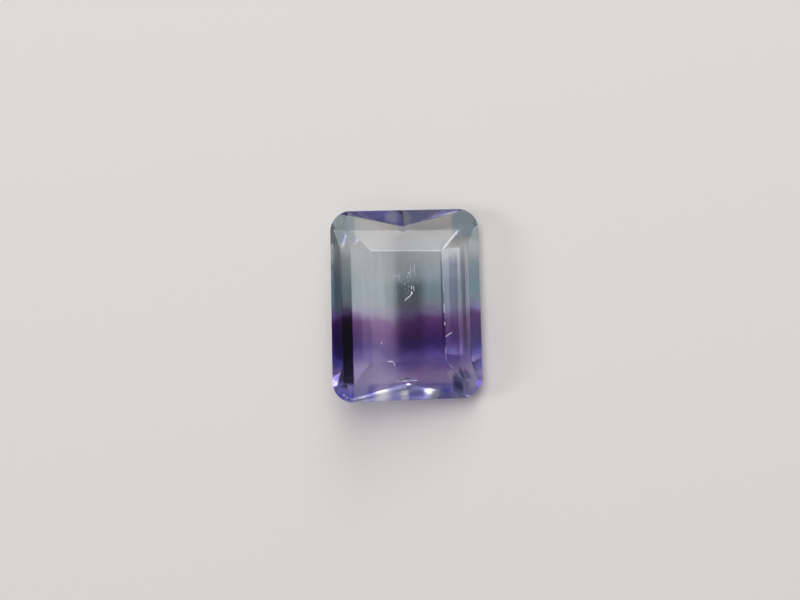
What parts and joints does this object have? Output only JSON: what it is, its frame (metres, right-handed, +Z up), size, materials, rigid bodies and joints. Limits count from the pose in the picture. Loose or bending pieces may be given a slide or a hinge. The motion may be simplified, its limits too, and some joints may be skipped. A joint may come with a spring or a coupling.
{
  "type": "step-cut fluorite gemstone",
  "caption": "Loose rectangular step-cut fluorite gemstone with rounded corners, colour-zoned from grey-green to violet along its length, lying on a long pavilion facet.",
  "frame": {"origin": "on the surface that the stone lies on, under the middle of its bounding box", "axes": "+X along the stone's length towards its grey-green end, +Y to the back, away from the side that the table faces, +Z up"},
  "size_m": [0.0102, 0.0078, 0.0041],
  "materials": {
    "fluorite": "polished, see-through, with lightly worn facet edges"
  },
  "bodies": {
    "root": {"stone": "fluorite"}
  },
  "joints": []
}
